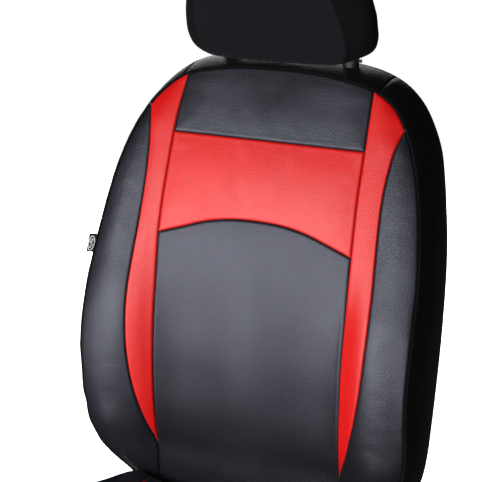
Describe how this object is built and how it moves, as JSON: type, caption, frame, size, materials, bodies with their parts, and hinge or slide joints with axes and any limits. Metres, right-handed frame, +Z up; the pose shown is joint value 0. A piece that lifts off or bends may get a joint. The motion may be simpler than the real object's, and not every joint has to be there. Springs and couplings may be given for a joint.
{
  "type": "seat cover set",
  "caption": "Two-tone leatherette cover set with coloured side strips and yoke, shown fitted to a reclining front seat with a height-adjusting headrest and floor slides.",
  "frame": {"origin": "centre of the floor bolt pattern, on the plane that the rail feet stand on", "axes": "+Z up; the seat faces -Y; +X is the outboard side, which carries the recline lever (the viewer's right)"},
  "size_m": [0.545, 0.7557, 1.1026],
  "materials": {
    "black_leatherette": "satin",
    "red_leatherette": "satin",
    "black_fabric": "matte",
    "headrest_knit": "matte",
    "elastic": "matte",
    "foam": "matte",
    "painted_steel": "satin",
    "zinc_steel": "satin",
    "chrome": "gloss",
    "black_plastic": "matte"
  },
  "bodies": {
    "floor_rails": {"lower_rail_l": "zinc_steel", "lower_rail_r": "zinc_steel"},
    "seat_base": {"upper_rail_l": "zinc_steel", "upper_rail_r": "zinc_steel", "side_member_l": "painted_steel", "side_member_r": "painted_steel", "front_cross_tube": "painted_steel", "rear_cross_tube": "painted_steel", "recliner_l": "zinc_steel", "recliner_r": "zinc_steel", "side_shield_l": "black_plastic", "side_shield_r": "black_plastic", "cushion_pan": "painted_steel", "cushion_foam": "foam", "cushion_centre_panel": "black_leatherette", "cushion_strip_l": "red_leatherette", "cushion_strip_r": "red_leatherette", "cushion_bolster_l": "black_leatherette", "cushion_bolster_r": "black_leatherette", "cushion_front_skirt": "black_fabric", "cushion_skirt_l": "black_fabric", "cushion_skirt_r": "black_fabric", "cushion_rear_flap": "black_fabric", "cushion_hem_elastic": "elastic", "cushion_strap_l": "elastic", "cushion_strap_r": "elastic"},
    "backrest": {"back_frame": "painted_steel", "recliner_pin_l": "zinc_steel", "recliner_pin_r": "zinc_steel", "back_foam": "foam", "headrest_guide_l": "black_plastic", "headrest_guide_r": "black_plastic", "back_upper_panel": "black_leatherette", "back_yoke": "red_leatherette", "back_centre_panel": "black_leatherette", "back_strip_l": "red_leatherette", "back_strip_r": "red_leatherette", "back_bolster_l": "black_leatherette", "back_bolster_r": "black_leatherette", "back_gusset_l": "black_fabric", "back_gusset_r": "black_fabric", "back_gusset_top": "black_fabric", "back_rear_panel": "black_fabric", "back_pocket": "black_fabric", "back_closure_flap": "black_fabric", "back_label_tab": "black_fabric"},
    "headrest": {"headrest_posts": "chrome", "headrest_foam": "foam", "headrest_front_panel": "headrest_knit", "headrest_rear_panel": "black_fabric", "headrest_gusset": "black_fabric"},
    "recline_lever": {"recline_lever": "black_plastic"},
    "release_bar": {"rail_release_bar": "painted_steel"},
    "lock_button": {"headrest_lock_button": "black_plastic"}
  },
  "joints": [
    {"name": "fore_aft_slide", "type": "slide", "parent": "floor_rails", "child": "seat_base", "axis": [0, -1, 0], "range_m": [-0.058, 0.058]},
    {"name": "backrest_recline", "type": "hinge", "parent": "seat_base", "child": "backrest", "pos_m": [0, 0.15817, 0.20964], "axis": [1, 0, 0], "range_deg": [-28, 4]},
    {"name": "headrest_height", "type": "slide", "parent": "backrest", "child": "headrest", "axis": [0, 0.2756, 0.9613], "range_m": [0, 0.06]},
    {"name": "recline_lever_lift", "type": "hinge", "parent": "seat_base", "child": "recline_lever", "pos_m": [0, 0.15817, 0.20964], "axis": [-1, 0, 0], "range_deg": [0, 20], "stiffness_Nm_per_rad": 3, "springref_deg": -20.05},
    {"name": "rail_release_lift", "type": "hinge", "parent": "seat_base", "child": "release_bar", "pos_m": [0, -0.13, 0.076], "axis": [-1, 0, 0], "range_deg": [0, 7], "stiffness_Nm_per_rad": 8, "springref_deg": -20.05},
    {"name": "headrest_lock_press", "type": "slide", "parent": "backrest", "child": "lock_button", "axis": [-1, 0, 0], "range_m": [0, 0.0022], "stiffness_N_per_m": 400, "springref_m": -0.002}
  ]
}
